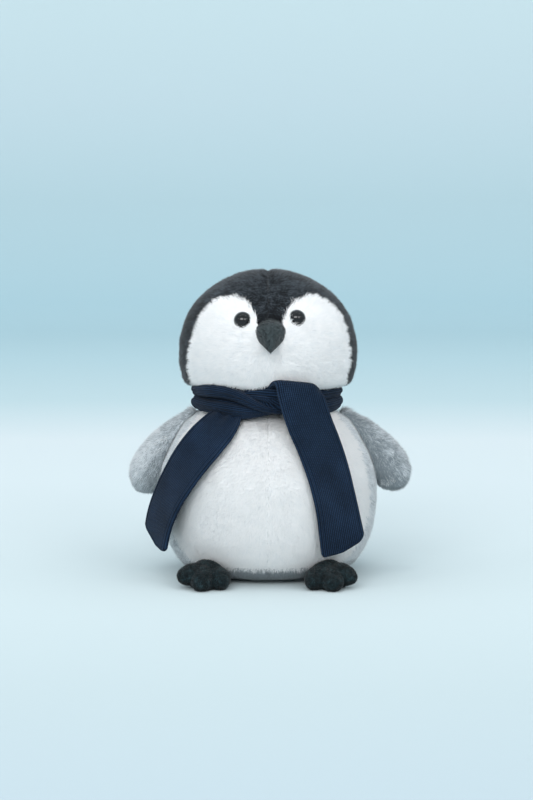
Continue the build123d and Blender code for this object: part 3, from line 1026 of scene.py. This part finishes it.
# half height above the middle line, and distance from the root
BEAK_SIDE = [
    (9.0, -4), (9.5, 0), (10.4, 5), (9.5, 11), (7.2, 17), (4.3, 22.2), (2.2, 25.2), (0, 26.8)]
BEAK_HALF_WIDTH = [
    (10.8, -4), (11.2, 0), (11.0, 3), (10.1, 6), (8.5, 10), (6.3, 15), (4.1, 20), (2.0, 24),
    (0.3, 26.8)]
BEAK_UNDER = [(5.2, -4), (5.0, 0), (4.0, 5), (3.0, 10), (1.8, 15), (1.0, 20), (0.4, 26.8)]
BEAK_NAP = 1.5
BEAK_DROOP = 29.5  # degrees below level
BEAK_ROOT = 0.9, 0.642  # where it starts, as shares of the CAD beak's depth and height
BEAK_TONES = shades("beak_pile", (14, 20, 22), (31, 40, 43), (56, 69, 72), (112, 128, 131),
                    sheen=0.12, gloss_level=0.1)
BEAK_SKIN = plush("beak_backing", (34, 42, 45), (58, 70, 73))


def beak():
    low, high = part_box("beak_cover")
    size = high - low
    root = np.array([(low.x + high.x) / 2, low.y + BEAK_ROOT[0] * size.y,
                     low.z + BEAK_ROOT[1] * size.z])
    droop = math.radians(BEAK_DROOP)
    along = np.array([0, -math.cos(droop), -math.sin(droop)])
    lift = np.array([0, -math.sin(droop), math.cos(droop)])
    verts, faces = lathe([tuple(p) for p in smooth_line(BEAK_SIDE, 60)], 96)
    radius, width, under = (np.interp(verts[:, 2], *np.array(rows)[:, ::-1].T)
                            for rows in (BEAK_SIDE, BEAK_HALF_WIDTH, BEAK_UNDER))
    trim = np.clip(1 - 0.5 * BEAK_NAP / np.maximum(radius, 0.1), 0, 1)
    verts[:, 0] *= np.maximum(width - 0.35, 0) / np.maximum(radius, 0.1)
    below = np.clip(-verts[:, 1], 1e-6, None)
    flat = (below**-6.0 + under**-6.0) ** (-1 / 6)  # rounded off at the underside's depth
    verts[:, 1] = np.where(verts[:, 1] < 0, -flat, verts[:, 1] * trim)
    verts = placed(verts * MM, root, [1, 0, 0], lift, along)
    ob = new_object("beak_cloth", verts, [f[::-1] for f in faces], [BEAK_SKIN])
    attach(ob, "head")
    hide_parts("beak_cover", "beak_stuffing")
    rng = np.random.default_rng(800)
    roots, normals = scatter_on(ob, 7.0, rng)
    grow("beak_nap", ob, roots, normals, np.tile(along, (len(roots), 1)),
         BEAK_NAP * MM, 0.95, BEAK_TONES, 801, width=0.42 * MM, fleck=1.5)


EYE_RADIUS = 6.0  # in mm, like the profile
EYE_DOME = 4.4
EYE_BACK = [(0, -2.2), (4.6, -2.2), (5.6, -1.8), (6.0, -1.0), (6.0, -0.2)]
EYE_DOME_STEPS = 16
EYE_SINK = 1.6 * MM
EYE_RAISE = 0.6 * MM  # added to the CAD eye's height to find its place on the side
EYE_FACING = {"left": -0.05, "right": -0.4}  # turned to the front by so much
EYE_SHIFT = {"left": -1.1 * MM, "right": 0.1 * MM}
EYE_LIFT = 0.9 * MM


def glossy(name, colour):
    """Black plastic, slightly uneven in tone and gloss."""
    material, tree, bsdf = shader(name, Coat_Weight=0.5, Coat_Roughness=0.02,
                                  Specular_IOR_Level=0.25)
    swirl = mottle(tree, 260.0, 2.0)
    light = tuple(min(1, c * 1.8) for c in colour[:3]) + (1.0,)
    tree.links.new(ramp(tree, swirl, [(0.35, colour), (0.75, light)]), bsdf.inputs["Base Color"])
    spread(tree, swirl, 0.02, 0.07, bsdf.inputs["Roughness"])
    return material


def eyes():
    plastic = glossy("eye_gloss", srgb(6, 5, 6))
    profile = list(EYE_BACK)
    dome_radius = (EYE_RADIUS**2 + EYE_DOME**2) / (2 * EYE_DOME)
    top = math.asin(EYE_RADIUS / dome_radius)
    for i in range(1, EYE_DOME_STEPS):
        a = top * (1 - i / EYE_DOME_STEPS)
        profile.append((dome_radius * math.sin(a), EYE_DOME - dome_radius * (1 - math.cos(a))))
    profile.append((0, EYE_DOME))
    verts, faces = lathe([(a * MM, b * MM) for a, b in profile], 64)
    for word, _ in SIDES:
        low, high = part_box(f"eye_{word}")
        middle = (low + high) / 2
        t = HEAD.run[np.argmin(np.abs(HEAD.line[:, 1] - middle.z - EYE_RAISE))]
        phi = math.asin(middle.x / np.interp(t, HEAD.run, HEAD.line[:, 0]))
        place, normal, _ = (v[0] for v in HEAD.at(np.array([phi]), np.array([t]), EYE_SINK))
        facing = Vector(normal) + Vector((0, EYE_FACING[word], 0))
        turn = facing.to_track_quat("Z", "Y").to_matrix()
        place = Vector(place) + Vector((EYE_SHIFT[word], 0, EYE_LIFT))
        ob = new_object(f"eye_{word}_button", [turn @ Vector(v) + place for v in verts], faces,
                        [plastic])
        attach(ob, "head")
        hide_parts(f"eye_{word}")


# ---- scarf

SCARF_WIDTH = 33.0
SCARF_THICK = 3.6
KNIT_RIB = 1.4 * MM
KNIT_LOOP = 1.1 * MM


def knit(name):
    """Fine ribbed knit: the first texture axis runs across the ribs, in metres."""
    material, tree, bsdf = shader(name, Sheen_Weight=0.04, Specular_IOR_Level=0.06)
    uv = tree.nodes.new("ShaderNodeUVMap")
    uv.uv_map = "knit"
    parts = parts_of(tree, uv.outputs["UV"])
    across = maths(tree, "MULTIPLY", parts["X"], 2 * math.pi / KNIT_RIB)
    along = maths(tree, "MULTIPLY", parts["Y"], 2 * math.pi / KNIT_LOOP)
    rib = maths(tree, "ABSOLUTE", maths(tree, "SINE", maths(tree, "MULTIPLY", across, 0.5)))
    loop = maths(tree, "SINE", maths(tree, "ADD", along, rib))
    fuzz = mottle(tree, 1100.0, 3.0, Roughness=0.7)
    patch = mottle(tree, 55.0, 3.0)
    height = maths(tree, "ADD", rib, maths(tree, "MULTIPLY", loop, 0.12))
    height = maths(tree, "ADD", height, maths(tree, "MULTIPLY", fuzz, 0.9))
    # painted shade: the colour follows the knit's height, darker in the grooves between ribs and
    # loops and paler on their tops, with random patches
    tone = maths(tree, "ADD", maths(tree, "MULTIPLY", height, 0.42),
                 maths(tree, "MULTIPLY", patch, 0.3))
    tree.links.new(ramp(tree, tone, [(0.25, srgb(5, 11, 19)), (0.6, srgb(12, 25, 40)),
                                     (1.0, srgb(40, 61, 89))]), bsdf.inputs["Base Color"])
    emboss(tree, height, bsdf, 0.75, 0.0005)
    tree.links.new(maths(tree, "MULTIPLY_ADD", fuzz, 0.25, 0.7), bsdf.inputs["Roughness"])
    return material


def knit_uv(ob, uv):
    """Gives each corner of the mesh its place on the cloth, in metres."""
    layer = ob.data.uv_layers.new(name="knit")
    index = np.empty(len(ob.data.loops), np.int32)
    ob.data.loops.foreach_get("vertex_index", index)
    layer.data.foreach_set("uv", np.asarray(uv, np.float32)[index].ravel())


STRIP_POINTS = 400
# the sewn edge in mm: from the rim, half width, depth, and length of a stitch
STITCH_IN, STITCH_HALF, STITCH_DEEP, STITCH_PITCH = 2.9, 0.5, 0.6, 2.6
SHOULDER_WAY = np.array([-0.25, 0.35, -1.0])  # how edges sink where a strip folds over


def strip(name, stations, slant, material, corner, ripple, seed, gather=0.0, shoulder=0.0):
    """A flat tube of knit through (x, y, z, turn, tilt, width share) stations in mm.

    slant and corner cut its end, gather puckers its start, shoulder lets its edges sink where
    it folds over, and ripple waves the rest.
    """
    line = smooth_line(stations, STRIP_POINTS)
    place, turn, tilt = line[:, :3], np.radians(line[:, 3]), np.radians(line[:, 4])
    run = unit(np.gradient(place, axis=0))
    across = np.stack([np.cos(tilt) * np.cos(turn), np.cos(tilt) * np.sin(turn), np.sin(tilt)], 1)
    face = unit(np.cross(across, run))
    length = run_along(place)
    half = SCARF_WIDTH / 2
    top_run = length[np.argmax(place[:, 2])]
    q = np.sin(np.linspace(-math.pi / 2, math.pi / 2, 49))
    bend = 0.06 * np.sin(np.linspace(0, math.pi / 2, 24)[1:])  # closer rows at the end
    v = np.concatenate([np.linspace(0, 0.94, 130), 0.94 + bend])
    gv, gq = np.meshgrid(v, q, indexing="ij")
    corner = np.where(gq < 0, *corner)
    over = np.clip((np.abs(gq) * half - (half - corner)) / corner, 0, 1)
    end = length[-1] + slant * gq - corner * (1 - np.sqrt(1 - over**2))
    s = gv * end
    d = np.minimum(half * (1 - np.abs(gq)), end - s)
    rim = SCARF_THICK / 2
    swell = rim * np.sqrt(np.clip(1 - (1 - np.clip(d / rim, 0, 1)) ** 2, 0, 1))
    stitch = (STITCH_DEEP * near(d - STITCH_IN, STITCH_HALF)
              * (0.7 + 0.3 * np.sin(s * 2 * math.pi / STITCH_PITCH)))
    here = [np.stack([np.interp(s, length, m[:, i]) for i in range(3)], axis=-1)
            for m in (place, across, face)]
    share = np.interp(s, length, line[:, 5])
    flat = here[0] + here[1] * (gq * half * share)[..., None]
    pucker = gather * np.cos(2 * math.pi * 1.35 * gq + 0.9) * near(s - 6, 9.0)
    flat = flat + here[2] * pucker[..., None]
    ease = rise(gq, 0.5, 0.5) ** 2 + 0.35 * rise(-gq, 0.7, 0.3) ** 2
    ease = ease * near(s - top_run - 3, 9.0)
    flat = flat + shoulder * ease[..., None] * SHOULDER_WAY
    wave = ripple * noise(flat.reshape(-1, 3), 30.0, seed).reshape(s.shape) * rise(s, 0, 30)
    flat = flat + here[2] * wave[..., None]
    puffed = here[2] * (swell - stitch * (swell > 1))[..., None]
    top, low = flat + puffed, flat - puffed
    rows, cols = s.shape
    verts = np.concatenate([top.reshape(-1, 3), low.reshape(-1, 3)]) * MM
    uv = np.stack([gq * half, s], axis=-1).reshape(-1, 2) * MM
    faces = []
    for side in range(2):
        for i in range(rows - 1):
            for j in range(cols - 1):
                a = side * rows * cols + i * cols + j
                quad = (a, a + 1, a + cols + 1, a + cols)
                faces.append(quad[::-1] if side else quad)
    first = [(j, j + 1, rows * cols + j + 1, rows * cols + j)[::-1] for j in range(cols - 1)]
    ob = new_object(name, verts, faces + first, [material])
    knit_uv(ob, np.concatenate([uv, uv]))
    modify(ob, "WELD", merge_threshold=0.004 * MM)
    return ob, length[-1] * MM


STRAND_POINTS = 260


def strand_tube(name, path, material, pleats, depth, seed, around=56):
    """A gathered strand of the scarf: path is (x, y, z, half thickness, half height) in mm."""
    count = STRAND_POINTS
    line = smooth_line(path, count)
    place = line[:, :3]
    run = unit(np.gradient(place, axis=0))
    out = unit(place * [1, 1, 0])
    out = unit(out - run * np.sum(out * run, axis=1, keepdims=True))
    up = np.cross(run, out)
    up = up * np.sign(up[:, 2:3])
    a = np.linspace(0, 2 * math.pi, around, endpoint=False)
    gi, ga = np.meshgrid(np.arange(count), a, indexing="ij")
    length = run_along(place)
    drift = 0.9 * noise(np.stack([length, 0 * length, 0 * length], axis=1), 22.0, seed)[:, None]
    crease = 1 - np.abs(np.cos(pleats / 2 * ga + drift + seed))
    fold = depth * (crease**2 - 0.3) + 0.25 * depth * np.cos(2 * ga - drift)
    ends = np.clip(np.minimum(gi, count - 1 - gi) / 6, 0, 1) ** 0.5
    size = (1 - fold) * np.maximum(ends, 0.02)
    verts = (place[:, None, :] + out[:, None, :] * (np.cos(ga) * size * line[:, 3:4])[..., None]
             + up[:, None, :] * (np.sin(ga) * size * line[:, 4:5])[..., None])
    lumps = noise(verts.reshape(-1, 3), 9.0, seed + 3).reshape(count, around, 1)
    verts = verts + 0.35 * lumps * out[:, None, :]
    faces = []
    for i in range(0, (count - 1) * around, around):
        for j in range(around):
            k = (j + 1) % around
            faces.append((i + j, i + around + j, i + around + k, i + k))
    faces.append(tuple(range(around)))
    faces.append(tuple(range(count * around - 1, (count - 1) * around - 1, -1)))
    ob = new_object(name, verts.reshape(-1, 3) * MM, faces, [material])
    u = ga * (line[:, 3:4] + line[:, 4:5]) / 2
    knit_uv(ob, np.stack([u, np.repeat(length[:, None], around, 1)], axis=-1).reshape(-1, 2) * MM)
    return ob


RING = 47.6
RING_BEARINGS = 24, 280  # where the rolls start and stop, in degrees from the front
RING_TUCK = 4.5  # they start so much nearer the neck
WRAP_FRONT_UPPER = [
    (-48.6, -12, 132.4, 5.8, 4.4), (-44.8, -30, 134, 5.6, 4.7), (-38.2, -42, 135, 5.6, 4.8),
    (-28.6, -49.6, 134.2, 5.6, 4.6), (-18.8, -54.4, 131.4, 5.6, 4.2), (-10, -57, 127.2, 5.4, 3.6),
    (-2, -58, 123.8, 5.0, 2.8), (6, -58, 122.2, 4.4, 2.2), (15, -56.4, 122.2, 4, 2)]
WRAP_FRONT_LOWER = [
    (-48.8, -12, 124, 5.8, 5), (-43.6, -26, 123.6, 5.8, 5.2), (-36, -37.5, 123.2, 6.2, 5.6),
    (-27, -45.5, 122.4, 6.6, 6.2), (-18, -50, 121.4, 6.6, 5.9), (-10, -53, 120.8, 5.8, 4.2),
    (-2, -54.5, 121, 4.8, 2.6), (6, -55, 122, 4, 1.8), (14, -53, 122.6, 4, 1.8)]
FAN = [
    (-26, -47, 131, 3, 2), (-17, -52, 132, 4, 3.2), (-8, -55.4, 131.8, 4.8, 5.0),
    (0, -57.8, 131, 5.2, 7.4), (9, -58.4, 130.2, 5.2, 8.8), (20, -56, 129.2, 5.2, 8.8),
    (30, -47, 127.6, 4.8, 8.0), (36, -36, 126.4, 3.4, 6.6), (37, -26, 126, 2.4, 5)]
RIGHT_STRIP = [
    (12.5, -48.5, 127, 6, 0, 1), (15.2, -54.8, 134.6, 9, -4, 1), (18, -59.4, 139.8, 12, -6, 1),
    (20.8, -63.4, 140.6, 14, -6, 1), (22.6, -66.4, 135, 17, 4, 1), (25, -66.4, 125, 20, 14, 1),
    (29, -65.6, 113, 22, 16, 1), (34.4, -65.8, 100, 26, 16, 1), (41.4, -67.4, 80, 30, 15, 1),
    (46.4, -68.0, 60, 30, 13, 1), (50.0, -67.4, 40, 22, 12, 1), (52.6, -66.0, 25.2, 14, 12, 1)]
LEFT_STRIP = [
    (-27.6, -42.6, 124, -38, -8, 0.66), (-28.2, -46.2, 118.4, -37, -14, 0.76),
    (-34.4, -54.6, 110.5, -36, -22, 0.88), (-42.4, -58.8, 102, -38, -25, 0.94),
    (-56.4, -58.4, 84, -49, -25, 1), (-68.8, -52.6, 62, -58, -25, 1),
    (-75.8, -47.6, 44, -59, -19, 1), (-79.2, -44.4, 27.6, -60, -16, 1)]


def ring_part(height, half):
    """Stations of a roll round the neck at one height."""
    rows = []
    for a in np.radians(np.linspace(*RING_BEARINGS, 40)):
        sag = 0.5 * math.sin(3 * a + height)
        ring = RING - RING_TUCK * max(0.0, 1 - (math.degrees(a) - RING_BEARINGS[0]) / 16)
        rows.append((ring * math.sin(a), -ring * math.cos(a), height + sag, 5.7, half))
    return rows


def scarf_end(word, stations, slant, cloth, start, end, **more):
    """A hanging end of the scarf, a strip of knit; start and end are not used."""
    ob, run = strip(f"scarf_{word}_strip", stations, slant, cloth, **more)
    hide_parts(f"scarf_end_{word}")
    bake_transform(ob)


def scarf():
    cloth = knit("scarf_knit_navy")
    upper = strand_tube("scarf_wrap_upper", ring_part(130.9, 4.3) + WRAP_FRONT_UPPER,
                        cloth, 4, 0.16, 21)
    lower = strand_tube("scarf_wrap_lower", ring_part(122.4, 5.2) + WRAP_FRONT_LOWER,
                        cloth, 4, 0.16, 22)
    fan = strand_tube("scarf_twist", FAN, cloth, 8, 0.34, 23, around=120)
    wrap = join("scarf_neck_wrap_cloth", [upper, lower, fan])
    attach(wrap, "torso")
    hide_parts("scarf_neck_wrap")
    scarf_end("right", RIGHT_STRIP, -5.0, cloth, corner=(9.0, 6.0), ripple=0.5, shoulder=4.5,
              seed=31, start=(0.0265, -0.0645, 0.1215), end=(0.0285, -0.0645, 0.1125))
    scarf_end("left", LEFT_STRIP, 5.0, cloth, corner=(5.0, 11.0), ripple=0.4, gather=0.8,
              seed=32, start=(-0.0275, -0.0585, 0.1215), end=(-0.031, -0.0585, 0.1125))


# ---- inside

def inside():
    """The fillings, the pouch and the washers keep their CAD shape."""
    kinds = {"stuffing": plush("fibre_filling", (214, 216, 216), (240, 241, 240), scale=500),
             "pouch": plush("pouch_weave", (190, 186, 176), (216, 212, 202), scale=900),
             "washer": plush("washer_nylon", (196, 198, 200), (214, 216, 218), scale=200,
                             bump=0.1)}
    for ob in list(bpy.data.objects):
        for word, material in kinds.items():
            if "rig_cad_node" in ob and word in ob.name:
                for slot in ob.material_slots:
                    slot.material = material


base()
wings()
tail()
feet()
beak()
eyes()
scarf()
inside()
